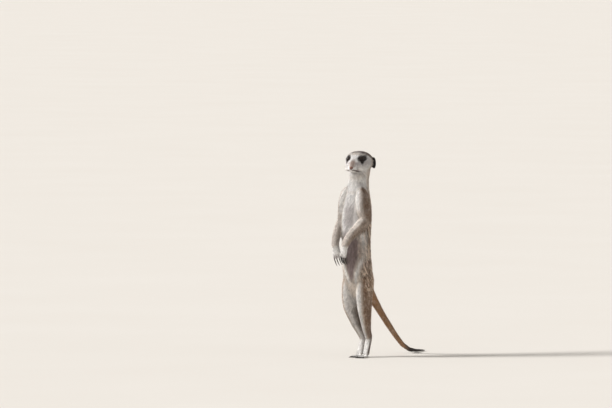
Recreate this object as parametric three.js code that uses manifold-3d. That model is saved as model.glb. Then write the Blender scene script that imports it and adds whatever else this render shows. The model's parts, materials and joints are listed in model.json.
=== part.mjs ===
// A life-size model of a meerkat on the lookout: upright on its hind toes, forepaws hanging before the belly,
// and its tail propped on the floor behind it. Every solid reaches to the tips of the coat.
// Millimetres, +Z up. The animal faces -Y, and its left side is +X.

import * as THREE from "three";
import { mergeVertices } from "three/addons/utils/BufferGeometryUtils.js";
import Module from "manifold-3d";

const wasm = await Module();
wasm.setup();

// ---- Driving sizes ----------------------------------------------------------------------------------------

const GAP = 0.3; // between neighbouring pieces
const LEFT = 1;
const RIGHT = -1;
const HEAD_TURN = 18; // degrees towards the animal's left
const HEAD_AT = [0, 4.5, 298.5]; // middle of the skull, between the ears
const EYE_RADIUS = 5;
const EYE_AT = [9.9, -13.2, 0.4]; // left eye's centre, from the middle of the skull
const TOES = 4; // on every foot
const FORE_CLAW = 12.5;
const HIND_CLAW = 6;

const FRONT = new THREE.Vector3(0, -1, 0);
const UP = new THREE.Vector3(0, 0, 1);

// ---- Solids -----------------------------------------------------------------------------------------------

function solidOf(geometry) {
  geometry.deleteAttribute("normal");
  geometry.deleteAttribute("uv");
  const merged = mergeVertices(geometry, 1e-4);
  return new wasm.Manifold(
    new wasm.Mesh({
      numProp: 3,
      vertProperties: merged.attributes.position.array,
      triVerts: new Uint32Array(merged.index.array),
    }),
  );
}

function geometryOf(solid) {
  const mesh = solid.getMesh();
  const geometry = new THREE.BufferGeometry()
    .setAttribute("position", new THREE.BufferAttribute(mesh.vertProperties, 3))
    .setIndex(new THREE.BufferAttribute(mesh.triVerts, 1));
  geometry.computeVertexNormals();
  return geometry;
}

const joined = (solids) => solids.reduce((sum, solid) => sum.add(solid));

// Catmull-Rom value of one column of the stations, at a fractional station number.
function between(stations, column, t) {
  const last = stations.length - 1;
  const i = Math.min(last - 1, Math.floor(t));
  const f = t - i;
  const p = [i - 1, i, i + 1, i + 2].map((k) => stations[Math.max(0, Math.min(last, k))][column]);
  const bend = p[3] - p[0] + 3 * (p[1] - p[2]);
  return p[1] + 0.5 * f * (p[2] - p[0] + f * (2 * p[0] - 5 * p[1] + 4 * p[2] - p[3] + f * bend));
}

// A closed limb or body through stations [x, y, z, half width, depth in front, depth behind]. Its sections are
// rounded boxes between an oval (square 2) and fuller shapes. An end is rounded over the given cap, or flat at 0.
function loft(stations, options = {}) {
  const { around = 12, steps = 1, front = FRONT, startCap = 3, endCap = 3, square = 2.2, grow = 0 } = options;
  const last = stations.length - 1;
  const centre = (t) => new THREE.Vector3(...[0, 1, 2].map((column) => between(stations, column, t)));
  const rings = [];
  const ringAt = (t, shift, share) => {
    const before = centre(Math.max(0, t - 0.02));
    const along = centre(Math.min(last, t + 0.02)).sub(before).normalize();
    const ahead = front.clone().addScaledVector(along, -front.dot(along)).normalize();
    const sideways = new THREE.Vector3().crossVectors(ahead, along);
    const middle = centre(t).addScaledVector(along, shift);
    const [wide, fore, aft] = [3, 4, 5].map((column) => (between(stations, column, t) + grow) * share);
    rings.push({ middle, along, ahead, sideways, wide, fore, aft });
  };
  if (startCap) ringAt(0, -(startCap + grow) * Math.SQRT1_2, Math.SQRT1_2);
  for (let k = 0; k <= last * steps; k++) ringAt(k / steps, 0, 1);
  if (endCap) ringAt(last, (endCap + grow) * Math.SQRT1_2, Math.SQRT1_2);

  const round = (v) => Math.sign(v) * Math.abs(v) ** (2 / square);
  const points = rings.flatMap(({ middle, ahead, sideways, wide, fore, aft }) =>
    Array.from({ length: around }, (_, j) => {
      const angle = (j / around) * 2 * Math.PI;
      const depth = Math.sin(angle) > 0 ? fore : aft;
      return middle
        .clone()
        .addScaledVector(sideways, wide * round(Math.cos(angle)))
        .addScaledVector(ahead, depth * round(Math.sin(angle)));
    }),
  );
  const first = rings[0];
  const final = rings.at(-1);
  const pole = (ring, cap) => ring.middle.clone().addScaledVector(ring.along, cap);
  points.push(pole({ ...first, middle: centre(0) }, -(startCap ? startCap + grow : 0)));
  points.push(pole({ ...final, middle: centre(last) }, endCap ? endCap + grow : 0));

  const faces = [];
  for (let i = 0; i + 1 < rings.length; i++)
    for (let j = 0; j < around; j++) {
      const a = i * around + j;
      const b = i * around + ((j + 1) % around);
      faces.push(a, b, b + around, a, b + around, a + around);
    }
  const end = (rings.length - 1) * around;
  for (let j = 0; j < around; j++) {
    const next = (j + 1) % around;
    faces.push(points.length - 2, next, j);
    faces.push(points.length - 1, end + j, end + next);
  }
  const geometry = new THREE.BufferGeometry().setFromPoints(points).setIndex(faces);
  return solidOf(geometry);
}

function ellipsoid([x, y, z], [rx, ry, rz], { columns = 12, rows = 8, turn = [0, 0, 0] } = {}) {
  const geometry = new THREE.SphereGeometry(1, columns, rows).rotateX(Math.PI / 2).scale(rx, ry, rz);
  geometry.applyMatrix4(new THREE.Matrix4().makeRotationFromEuler(new THREE.Euler(...turn)));
  return solidOf(geometry.translate(x, y, z));
}

// Half of space, as a large box: the side of the plane that the direction points to, less half a gap.
function side(point, direction) {
  const SPAN = 800;
  const way = new THREE.Vector3(...direction).normalize();
  const box = new THREE.BoxGeometry(SPAN, SPAN, SPAN).translate(0, 0, SPAN / 2 + GAP / 2);
  box.applyQuaternion(new THREE.Quaternion().setFromUnitVectors(UP, way));
  return solidOf(box.translate(...point));
}

// Parts a solid with one thin cut: [what lies the way the direction points, the rest].
function parted(solid, point, direction) {
  const back = direction.map((d) => -d);
  return [solid.intersect(side(point, direction)), solid.intersect(side(point, back))];
}

// ---- Trunk ------------------------------------------------------------------------------------------------

const TRUNK = [
  [0, 6, 92, 13, 9, 17],
  [0, 4, 108, 19.5, 16, 22],
  [0, 3, 126, 22, 22.2, 22.5],
  [0, 1, 146, 21.5, 22.8, 21],
  [0, 0, 166, 21, 23.6, 20.5],
  [0, 0, 186, 22, 23, 21],
  [0, 0, 206, 22.8, 22, 22.3],
  [0, 0, 226, 22.6, 20.5, 23],
  [0, 1, 241, 20.5, 18, 21],
  [0, 3, 253, 17.2, 15.5, 18.5],
];
const trunkLoft = (grow = 0) => loft(TRUNK, { around: 18, grow, startCap: 9, endCap: 8 });

const NECK = [
  [0, 2.5, 246, 19, 17.5, 18.5],
  [0, 3.5, 258, 16.5, 15.5, 18],
  [0, 5, 270, 14.8, 16, 17.5],
  [0, 6.5, 282, 15, 16, 20],
  [0, 8, 291, 14.5, 11, 20],
];

// ---- Hind legs --------------------------------------------------------------------------------------------

// The right foot stands a little further back than the left one.
const FOOT_SHIFT = { [LEFT]: 0, [RIGHT]: 3.5 };

// From the hip, past the knee, to the hock.
const thighAndShank = (s) => [
  [11 * s, 5, 131, 7.5, 13, 15],
  [13 * s, 4, 119, 10.6, 15.5, 18],
  [13.7 * s, 2, 104, 11, 15.4, 17.5],
  [13.9 * s, 1, 90, 10.8, 14.2, 15],
  [13 * s, 3, 75, 9.9, 12.2, 12],
  [11.4 * s, 7 + FOOT_SHIFT[s] / 4, 62, 8.8, 10, 9.8],
  [9.6 * s, 11.5 + FOOT_SHIFT[s] / 2, 49, 7.2, 8, 8.2],
  [7.9 * s, 16 + FOOT_SHIFT[s] * 0.8, 39, 6, 6.2, 7],
  [7.2 * s, 19.5 + FOOT_SHIFT[s], 32, 5.5, 5.5, 6.8],
];
const metatarsus = (s) => [
  [7.2 * s, 22 + FOOT_SHIFT[s], 34, 5, 5, 5.4],
  [7.2 * s, 20.5 + FOOT_SHIFT[s], 26, 5, 4.4, 4.8],
  [7.2 * s, 17.5 + FOOT_SHIFT[s], 15, 5, 4.1, 4.1],
  [7.2 * s, 14 + FOOT_SHIFT[s], 6, 5.7, 4.6, 4.4],
];

// ---- Toes and claws ---------------------------------------------------------------------------------------

// A point that lies forward (along), sideways (across) and up from a foot's frame, as [x, y, z].
function placed(frame, along, across, up) {
  const point = frame.at
    .clone()
    .addScaledVector(frame.along, along)
    .addScaledVector(frame.across, across)
    .addScaledVector(frame.up, up);
  return point.toArray();
}

function toe(frame, k, { length, thick, spread, first }) {
  const lane = k - (TOES - 1) / 2;
  const reach = length * (1 - 0.1 * Math.abs(lane) - 0.04 * lane * frame.inner);
  const row = (share, up, size) => [
    ...placed(frame, first + reach * share, lane * spread * (1 + 0.25 * share), up * thick),
    thick * size * 0.92,
    thick * size,
    thick * size * 0.9,
  ];
  return loft([row(0, 0, 1.05), row(0.5, 0.2, 1.02), row(0.85, 0, 0.95), row(1, -0.12, 0.6)], {
    around: 6,
    square: 2,
    front: frame.up,
    startCap: 0,
    endCap: 0,
  });
}

function claw(frame, k, { length, thick, spread, first, claw: size, droop }) {
  const lane = k - (TOES - 1) / 2;
  const reach = length * (1 - 0.1 * Math.abs(lane) - 0.04 * lane * frame.inner);
  const row = (share, wide) => {
    const forward = first + reach + GAP + size * share * (1 - 0.22 * share * droop);
    const sideways = lane * spread * (1.25 + 0.1 * share);
    return [...placed(frame, forward, sideways, -0.12 * thick - droop * size * 0.42 * share ** 2), wide, wide * 1.25, wide];
  };
  return loft([row(0, 1.1), row(0.5, 0.9), row(1, 0.3)], {
    around: 5,
    square: 2,
    front: frame.up,
    startCap: 0,
    endCap: 0.3,
  });
}

const FORE_TOE = { length: 9, thick: 2.2, spread: 3.1, first: -1, claw: FORE_CLAW, droop: 1 };
const HIND_TOE = { length: 15, thick: 2, spread: 2.75, first: -2, claw: HIND_CLAW, droop: 0.35 };

function hindFrame(s) {
  return {
    at: new THREE.Vector3(7.2 * s, 12 + FOOT_SHIFT[s], 1.5),
    along: FRONT.clone(),
    across: new THREE.Vector3(s, 0, 0),
    up: UP.clone(),
    inner: s,
  };
}

const FLOOR = side([0, 0, GAP / 2], [0, 0, -1]);

const legLoft = (s, grow = 0) => loft(thighAndShank(s), { around: 14, startCap: 4, grow });

function hindLeg(s) {
  const frame = hindFrame(s);
  const toes = Array.from({ length: TOES }, (_, k) => toe(frame, k, HIND_TOE));
  const foot = joined([loft(metatarsus(s), { around: 9, endCap: 3.5 }), ...toes]);
  const [top, rest] = parted(joined([legLoft(s), foot]), [13.6 * s, 2, 80], [0, -0.2, 1]);
  const [middle, end] = parted(rest, [7.2 * s, 20 + FOOT_SHIFT[s], 31], [0, -0.35, 1]);
  return { thigh: top, shank: middle, hind_foot: end.subtract(FLOOR) };
}

// ---- Forelegs ---------------------------------------------------------------------------------------------

const ARM = {
  [LEFT]: {
    upper: [
      [13.5, -4, 253, 6, 7.5, 9],
      [17, -7.5, 245, 8.6, 10.5, 12.5],
      [19, -10, 236, 10, 12.4, 13.5],
      [21, -9.5, 224, 10.5, 13, 13.5],
      [23, -5.5, 211, 8.6, 11, 10],
    ],
    fore: [
      [23.4, -4, 208, 7.8, 9, 8],
      [19.6, -12.5, 201, 7.8, 12, 8.8],
      [13.2, -24, 190, 6.7, 10, 7.6],
      [6.6, -32.8, 177, 6.4, 6.8, 6],
      [4.2, -34.5, 170, 6.2, 5.4, 5.2],
    ],
    wrist: [4.4, -34.2, 172],
    hand: [-0.2, 0.02, -1],
    palm: [0.35, 0.93, 0.1],
  },
  [RIGHT]: {
    upper: [
      [-13, -5, 254.5, 6, 7, 8],
      [-15.6, -8, 246, 7.5, 9, 10],
      [-16.9, -9.3, 235, 7.6, 9.8, 11.2],
      [-18.4, -8, 224, 8, 10, 11],
      [-20, -7, 211, 7.8, 9, 9],
    ],
    fore: [
      [-20.2, -7.5, 208, 7.4, 8, 8],
      [-21, -13.5, 199, 7.2, 8.2, 8.4],
      [-20.4, -22, 187, 6.2, 7.2, 7.2],
      [-18, -28.8, 174, 6, 6, 5.8],
      [-16.8, -29.8, 168, 6, 5.2, 5.2],
    ],
    wrist: [-17.2, -29.6, 170],
    hand: [0.26, 0, -1],
    palm: [-0.25, 0.95, 0.1],
  },
};

function foreFrame(s) {
  const along = new THREE.Vector3(...ARM[s].hand).normalize();
  const palm = new THREE.Vector3(...ARM[s].palm);
  const up = palm.addScaledVector(along, -palm.dot(along)).normalize().negate();
  const across = new THREE.Vector3().crossVectors(up, along).multiplyScalar(s);
  const at = new THREE.Vector3(...ARM[s].wrist).addScaledVector(along, 13);
  return { at, along, across, up, inner: s };
}

function foreleg(s, body) {
  const frame = foreFrame(s);
  const toes = Array.from({ length: TOES }, (_, k) => toe(frame, k, FORE_TOE));
  const palm = (share, up, wide, deep) => [...placed(frame, share, 0, up), wide, deep, deep];
  const hand = loft([palm(-14, 0, 5.8, 4.9), palm(-7, 0.2, 6, 4.4), palm(-1, 0.2, 6.9, 4), palm(3, 0, 6.7, 3.2)], {
    around: 10,
    front: frame.up,
    startCap: 2,
    endCap: 2.5,
  });
  const upper = loft(ARM[s].upper, { around: 10, startCap: 4, endCap: 6 });
  const lower = loft(ARM[s].fore, { around: 10, steps: 2, startCap: 6, endCap: 3 });
  const arm = joined([upper, lower, hand, ...toes]).subtract(body);
  const elbow = ARM[s].upper.at(-1).slice(0, 3);
  const [top, rest] = parted(arm, elbow, [0, 0.72, 0.7]);
  const [middle, end] = parted(rest, ARM[s].wrist, frame.along.clone().negate().toArray());
  return { upper_arm: top, forearm: middle, forepaw: end };
}

// ---- Tail -------------------------------------------------------------------------------------------------

const TAIL = [
  [0, 14, 112, 10, 11, 11],
  [0, 27, 102, 8.6, 10, 9],
  [0, 41.5, 86, 6.8, 7.4, 7.4],
  [0.5, 57, 68, 5.6, 6, 6],
  [1.5, 74, 49, 4.9, 5.2, 5.2],
  [3, 91.5, 30, 4.3, 4.6, 4.6],
  [4, 108.5, 14.2, 3.9, 4.1, 4.1],
  [4, 126, 5.6, 3.5, 3.5, 3.5],
  [2.5, 145, 2.5, 3.1, 2.9, 2.9],
  [0.5, 160, 1.8, 2.4, 2.2, 2.2],
  [-1, 171, 1.2, 1.3, 1.4, 1.4],
];

function tail() {
  const rump = joined([trunkLoft(GAP), legLoft(LEFT, GAP), legLoft(RIGHT, GAP)]);
  const whole = loft(TAIL, { around: 10, front: UP, startCap: 5, endCap: 2.5, square: 2 });
  const outside = whole.subtract(FLOOR).subtract(rump);
  const [root, rest] = parted(outside, TAIL[4].slice(0, 3), [0, -0.7, 0.71]);
  const [middle, tip] = parted(rest, [4, 126, 6], [0, -0.92, 0.38]);
  return { root, middle, tip };
}

// ---- Head, in its own frame: facing -Y, level, centred between the ears -----------------------------------

const HEAD = [
  // [x, y, z of the middle, half width, height above it, depth below it], from the occiput to the nose
  [0, 23.5, -2.5, 12, 9.5, 11],
  [0, 18, -2.5, 18, 13.5, 13.5],
  [0, 9, -3.6, 20.5, 16.6, 15.4],
  [0, 0, -5, 21.2, 18.1, 14.8],
  [0, -7, -6.6, 19.6, 18.1, 14],
  [0, -13, -8, 16.5, 15.8, 13],
  [0, -18.5, -9.6, 12.5, 11.8, 11],
  [0, -23.5, -11.4, 9.2, 8, 8.6],
  [0, -28, -13, 6.8, 5.2, 6.2],
  [0, -31, -14, 5.4, 4, 4.4],
];
const NOSE_AT = [0, -32.5, -12];
const NOSE_RADII = [3.1, 2.4, 2.3];
const JAW_LINE = [0, -28, -15.8]; // a point on the closed mouth, at its front
const JAW_UP = [0, 0, 1];
const JAW_ANGLE = [0, -13, -19]; // where the lower jaw ends, at the corner of the mouth
const JAW_AHEAD = [0, -1, 0.7];
const NAPE = [0, 8, 281]; // the cut between head and neck
const HEAD_CUT = [0, -0.42, 1];
const SHOULDER_CUT = [0, 2, 253];

function earSolid(s) {
  const turn = [0.12, 0, 0.42 * s];
  const outside = ellipsoid([20.6 * s, 10.8, -5.6], [3.6, 6.4, 9], { columns: 9, rows: 7, turn });
  const cup = ellipsoid([24 * s, 6.9, -6.2], [3.6, 4.6, 6.2], { columns: 8, rows: 6, turn });
  return outside.subtract(cup);
}

const eyeBall = (s, grow = 0) =>
  ellipsoid([EYE_AT[0] * s, EYE_AT[1], EYE_AT[2]], Array(3).fill(EYE_RADIUS + grow));
const nosePad = (grow = 0) =>
  ellipsoid(NOSE_AT, NOSE_RADII.map((r) => r + grow), { columns: 8, rows: 6 });

// The skull with its cheeks and whisker pads, and with seats for the eyes and the nose.
function skull() {
  const dome = loft(HEAD, { around: 20, front: UP, startCap: 4, endCap: 2.6, square: 2.15 });
  const bulge = (place, radii) => ellipsoid(place, radii, { columns: 8, rows: 6 });
  const cheeks = [LEFT, RIGHT].map((s) => bulge([9.6 * s, -15.5, -12.5], [6.2, 9, 6.4]));
  const pads = [LEFT, RIGHT].map((s) => bulge([3.6 * s, -26, -13], [4.4, 6.4, 3.8]));
  const seats = [nosePad(GAP), eyeBall(LEFT, GAP), eyeBall(RIGHT, GAP)];
  return joined([dome, ...cheeks, ...pads]).subtract(joined(seats));
}

// ---- The whole animal -------------------------------------------------------------------------------------

const COAT = {
  pale: 0xd9d2c4,
  grizzled: 0x9c8b76,
  tail: 0x8a6c48,
  black: 0x17130f,
  claw: 0x2a2420,
  nose: 0x7a4c38,
};

const meerkat = new THREE.Group();

function show(name, solid, colour, roughness = 0.9) {
  const material = new THREE.MeshStandardMaterial({ color: colour, roughness, metalness: 0 });
  const mesh = new THREE.Mesh(geometryOf(solid), material);
  mesh.name = name;
  meerkat.add(mesh);
}

const headPlace = new THREE.Matrix4()
  .makeTranslation(...HEAD_AT)
  .multiply(new THREE.Matrix4().makeRotationZ(THREE.MathUtils.degToRad(HEAD_TURN)));
const onHead = (solid) => solidOf(geometryOf(solid).applyMatrix4(headPlace));
const headPoint = (p) => new THREE.Vector3(...p).applyMatrix4(headPlace).toArray();
const headWay = (d) => new THREE.Vector3(...d).transformDirection(headPlace).toArray();

// Head, jaw and neck are one mass, parted at the nape, the mouth and the shoulders.
const neckLoft = (grow = 0) => loft(NECK, { around: 12, startCap: 4, endCap: 4, grow });
const [headWhole, neckDown] = parted(joined([onHead(skull()), neckLoft()]), NAPE, HEAD_CUT);
const [overMouth, underMouth] = parted(headWhole, headPoint(JAW_LINE), headWay(JAW_UP));
const [jaw, throat] = parted(underMouth, headPoint(JAW_ANGLE), headWay(JAW_AHEAD));
const [behindJaw] = parted(headWhole, headPoint(JAW_ANGLE), headWay(JAW_AHEAD).map((d) => -d));
const cranium = joined([overMouth, behindJaw, throat]);
const [neck] = parted(neckDown, SHOULDER_CUT, [0, 0, 1]);

show("head", cranium, COAT.pale);
show("lower_jaw", jaw, COAT.pale);
show("neck", neck, COAT.pale);
show("nose", onHead(nosePad()), COAT.nose, 0.5);

// Trunk and thighs are one mass, parted at the groins.
const legs = { [LEFT]: hindLeg(LEFT), [RIGHT]: hindLeg(RIGHT) };
const trunkAndThighs = joined([trunkLoft(), neckLoft(), legs[LEFT].thigh, legs[RIGHT].thigh]);
const [belowNeck] = parted(trunkAndThighs, SHOULDER_CUT, [0, 0, -1]);
let trunk = belowNeck;
for (const s of [LEFT, RIGHT]) [legs[s].thigh, trunk] = parted(trunk, [10 * s, 0, 108], [0.86 * s, 0, -0.5]);
show("trunk", trunk, COAT.pale);
for (const [name, solid] of Object.entries(tail())) show(`tail_${name}`, solid, COAT.tail);

const body = joined([trunkLoft(GAP), neckLoft(GAP)]);
for (const [s, word] of [[LEFT, "left"], [RIGHT, "right"]]) {
  show(`${word}_eye`, onHead(eyeBall(s)), COAT.black, 0.1);
  show(`${word}_ear`, onHead(earSolid(s)).subtract(onHead(skull())), COAT.black);
  const limbs = { ...foreleg(s, body), ...legs[s] };
  for (const [name, solid] of Object.entries(limbs)) show(`${word}_${name}`, solid, COAT.grizzled);
  for (let k = 0; k < TOES; k++) {
    show(`${word}_fore_claw_${k + 1}`, claw(foreFrame(s), k, FORE_TOE), COAT.claw, 0.4);
    show(`${word}_hind_claw_${k + 1}`, claw(hindFrame(s), k, HIND_TOE), COAT.claw, 0.4);
  }
}

// The origin is on the floor, in the middle of the room that the animal takes.
const room = new THREE.Box3().setFromObject(meerkat);
const middle = room.getCenter(new THREE.Vector3());
meerkat.position.set(-middle.x, -middle.y, 0);

export default meerkat;
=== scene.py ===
"""A meerkat on the lookout, dressed: one skin with a coat of tufts, eyes, nose, claws and whiskers."""

import json
import math

import bmesh
import bpy
import numpy as np
from mathutils import Matrix, Vector
from mathutils.bvhtree import BVHTree
from mathutils.kdtree import KDTree

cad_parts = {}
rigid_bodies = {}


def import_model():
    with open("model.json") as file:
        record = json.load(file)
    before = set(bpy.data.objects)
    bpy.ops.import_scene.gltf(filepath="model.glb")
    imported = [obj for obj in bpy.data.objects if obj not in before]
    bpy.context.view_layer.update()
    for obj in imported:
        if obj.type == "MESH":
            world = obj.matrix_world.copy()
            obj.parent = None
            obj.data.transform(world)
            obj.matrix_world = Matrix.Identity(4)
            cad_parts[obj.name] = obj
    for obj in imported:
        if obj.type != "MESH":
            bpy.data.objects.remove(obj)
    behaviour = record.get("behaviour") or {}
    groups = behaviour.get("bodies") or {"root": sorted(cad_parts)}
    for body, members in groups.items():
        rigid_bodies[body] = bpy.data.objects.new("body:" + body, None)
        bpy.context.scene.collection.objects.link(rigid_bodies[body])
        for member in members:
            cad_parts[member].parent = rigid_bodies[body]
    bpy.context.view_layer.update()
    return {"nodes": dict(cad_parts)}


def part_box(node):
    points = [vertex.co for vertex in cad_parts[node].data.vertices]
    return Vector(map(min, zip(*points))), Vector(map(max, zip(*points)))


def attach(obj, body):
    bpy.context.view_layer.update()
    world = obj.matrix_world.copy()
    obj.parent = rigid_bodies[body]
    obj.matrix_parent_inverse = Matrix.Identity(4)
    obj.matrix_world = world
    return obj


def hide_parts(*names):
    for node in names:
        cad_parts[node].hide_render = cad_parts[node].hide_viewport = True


for leftover in list(bpy.data.objects):
    bpy.data.objects.remove(leftover)
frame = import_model()

MM = 0.001
SIDES = {"left": 1, "right": -1}
TOES = range(1, 5)
UP = np.array([0.0, 0.0, 1.0])
DOWN = -UP
FRONT = np.array([0.0, -1.0, 0.0])
chance = np.random.default_rng(11)


def unit(v):
    return v / np.maximum(np.linalg.norm(v, axis=-1, keepdims=True), 1e-12)


def ramp(low, high, value):
    """0 at low, 1 at high, with soft ends. It falls where high is under low."""
    t = np.clip((value - low) / (high - low), 0, 1)
    return t * t * (3 - 2 * t)


def hump(value, middle, width):
    return np.exp(-(((value - middle) / width) ** 2))


# ---- Landmarks ----


def centre(node):
    low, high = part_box(node)
    return np.array((low + high) / 2)


EYES = {word: centre(f"{word}_eye") for word in SIDES}
EYE_RADIUS = 5.0
NOSE = centre("nose")
BROW = (EYES["left"] + EYES["right"]) / 2  # the origin of the face's own frame
FACE_LEFT = unit(EYES["left"] - EYES["right"])
FACE_AHEAD = unit(np.cross(FACE_LEFT, UP))
FACE_AXES = np.stack([FACE_LEFT, FACE_AHEAD, UP])


def on_face(points):
    """Points in the face's own frame: columns to its left, ahead and up, in millimetres."""
    return (points - BROW) / MM @ FACE_AXES.T


def from_face(place):
    return BROW + np.asarray(place) @ FACE_AXES * MM


EYE_GAZE = unit(np.array([0.62, 0.70, 0.34]))  # the way that the left eye's opening faces
EYE_OPENING = (46, 29)  # degrees from its middle to its corners, and to its upper and lower lids
EYE_SLANT = 12  # degrees that the inner corner sits lower
EYE_MIDDLE = np.array([9.9, 0.0, 0.0]) - 0.8 * EYE_GAZE  # the left eyeball's, a little inside its solid's
NOSE_PLACE = on_face(NOSE)
MOUTH_FRONT = (15.5, -16.1)  # ahead and up, where the lips meet under the nose
MOUTH_CORNER = (2.0, -18.6)
MOUTH_END = 22  # ahead of the lips
MOUTH_SIDE = 12
NECK_TOP = -24  # up, where the head passes into the neck

# ---- The body's parts ----

LIMB_PARTS = ["upper_arm", "forearm", "forepaw", "thigh", "shank", "hind_foot", "ear"]
FLESH = ["head", "lower_jaw", "neck", "trunk", "tail_root", "tail_middle", "tail_tip"]
FLESH += [f"{word}_{part}" for word in SIDES for part in LIMB_PARTS]
FILLED = ["left_eye", "right_eye", "nose"]  # the skin closes behind them
NODES = FLESH + FILLED

# For each kind of part: the coat's depth, how far facets are smoothed away (0 to 1), a tuft's length and half
# its width, and the tufts to a square millimetre. Lengths are in millimetres.
COAT = {
    "head": (1.5, 0.5, 3.9, 0.095, 11.0),
    "lower_jaw": (0.9, 0.3, 2.4, 0.085, 14.0),
    "neck": (2.6, 1.0, 6.5, 0.13, 8.5),
    "trunk": (3.0, 1.0, 8.5, 0.15, 6.5),
    "tail_root": (2.0, 0.9, 6.0, 0.13, 8.0),
    "tail_middle": (1.3, 0.6, 4.8, 0.11, 9.0),
    "tail_tip": (0.8, 0.25, 4.0, 0.10, 11.0),
    "upper_arm": (2.2, 1.0, 6.0, 0.13, 8.0),
    "forearm": (1.4, 0.7, 4.4, 0.11, 9.5),
    "forepaw": (0.5, 0.1, 1.9, 0.09, 15.0),
    "thigh": (2.6, 1.0, 6.8, 0.14, 7.5),
    "shank": (1.5, 0.8, 4.4, 0.11, 9.5),
    "hind_foot": (0.6, 0.15, 1.8, 0.09, 13.0),
    "ear": (0.3, 0.12, 1.3, 0.08, 14.0),
    "eye": (0.3, 0.2, 1.0, 0.08, 14.0),
    "nose": (0.5, 0.2, 1.0, 0.08, 14.0),
}
DEPTH, SOFTNESS, LENGTH, WIDTH, DENSITY = range(5)


def kind_of(node):
    return node.removeprefix("left_").removeprefix("right_")


COAT_OF_NODE = np.array([COAT[kind_of(name)] for name in NODES])


# ---- Meshes as arrays ----


def read_points(mesh):
    points = np.empty(len(mesh.vertices) * 3)
    mesh.vertices.foreach_get("co", points)
    return points.reshape(-1, 3)


def write_points(mesh, points):
    mesh.vertices.foreach_set("co", points.ravel())
    mesh.update()


def normals_of(mesh):
    normals = np.empty(len(mesh.vertices) * 3)
    mesh.vertex_normals.foreach_get("vector", normals)
    return normals.reshape(-1, 3)


def triangles_of(mesh):
    mesh.calc_loop_triangles()
    corners = np.empty(len(mesh.loop_triangles) * 3, int)
    mesh.loop_triangles.foreach_get("vertices", corners)
    return corners.reshape(-1, 3)


class Web:
    """The edges of a mesh, for spreading values over its surface."""

    def __init__(self, mesh):
        ends = np.empty(len(mesh.edges) * 2, int)
        mesh.edges.foreach_get("vertices", ends)
        self.a, self.b = ends.reshape(-1, 2).T
        self.count = len(mesh.vertices)
        both = np.concatenate([self.a, self.b])
        self.degree = np.maximum(np.bincount(both, minlength=self.count), 1)

    def around(self, column):
        """The mean of each point's neighbours."""
        total = np.bincount(self.a, column[self.b], self.count)
        total += np.bincount(self.b, column[self.a], self.count)
        return total / self.degree

    def spread(self, values, rounds, share=0.6):
        columns = np.array(values, float).reshape(self.count, -1)
        share = np.broadcast_to(share, self.count)
        for _ in range(rounds):
            for k in range(columns.shape[1]):
                columns[:, k] += share * (self.around(columns[:, k]) - columns[:, k])
        return columns.reshape(np.shape(values))


def solids_tree(names):
    """A search tree of the solids' faces, and the node that each face belongs to."""
    points, faces, owners = [], [], []
    for name in names:
        mesh = frame["nodes"][name].data
        start = len(points)
        points += [v.co[:] for v in mesh.vertices]
        faces += [[start + i for i in p.vertices] for p in mesh.polygons]
        owners += [NODES.index(name)] * len(mesh.polygons)
    return BVHTree.FromPolygons(points, faces), np.array(owners)


def nearest_solid(tree, owners, points):
    """The node nearest to each point, and how far inside it the point lies, in millimetres."""
    found = [tree.find_nearest(p) for p in points.tolist()]
    place = np.array([f[0] for f in found])
    normal = np.array([f[1] for f in found])
    away = points - place
    inside = -np.sign(np.sum(away * normal, 1)) * np.linalg.norm(away, axis=1)
    return owners[[f[2] for f in found]], inside / MM


# ---- Skin ----


def flesh_block():
    """The solids of flesh as one mesh, each swollen a little, so that the thin cuts between them close."""
    SWELL = 0.2 * MM
    bm = bmesh.new()
    for name in NODES:
        bm.from_mesh(frame["nodes"][name].data)
    bmesh.ops.remove_doubles(bm, verts=bm.verts, dist=0.01 * MM)
    bm.normal_update()
    for v in bm.verts:
        v.co += v.normal * SWELL
    return new_piece("skin", bm)


def new_piece(name, bm):
    mesh = bpy.data.meshes.new(name)
    bm.to_mesh(mesh)
    bm.free()
    piece = bpy.data.objects.new(name, mesh)
    bpy.context.scene.collection.objects.link(piece)
    return piece


def settled(piece):
    """Applies the piece's modifiers."""
    shape = bpy.data.meshes.new_from_object(piece.evaluated_get(bpy.context.evaluated_depsgraph_get()))
    piece.modifiers.clear()
    old = piece.data
    piece.data = shape
    bpy.data.meshes.remove(old)


def refined(mesh, wanted, rounds=4):
    """Splits the faces around the points that wanted() picks, and rounds them off again."""
    picked = wanted(read_points(mesh))
    bm = bmesh.new()
    bm.from_mesh(mesh)
    edges = [e for e in bm.edges if picked[e.verts[0].index] and picked[e.verts[1].index]]
    bmesh.ops.subdivide_edges(bm, edges=edges, cuts=1, use_grid_fill=True)
    bm.to_mesh(mesh)
    bm.free()
    points = read_points(mesh)
    web = Web(mesh)
    write_points(mesh, web.spread(points, rounds, 0.5 * web.spread(wanted(points), 2)))


def mouth_line(face):
    """How far above the line between the lips each point is, and how near to the mouth along the muzzle."""
    ahead, up = face[:, 1], face[:, 2]
    along = np.clip((ahead - MOUTH_CORNER[0]) / (MOUTH_FRONT[0] - MOUTH_CORNER[0]), -0.2, 1.2)
    line = MOUTH_CORNER[1] + (MOUTH_FRONT[1] - MOUTH_CORNER[1]) * along
    line += 0.9 * hump(along, -0.02, 0.25) + 0.7 * hump(np.abs(face[:, 0]), 0, 1.6) * ramp(0.6, 1.0, along)
    return up - line, ramp(MOUTH_CORNER[0] - 1.5, MOUTH_CORNER[0] + 1.0, ahead)


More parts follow.
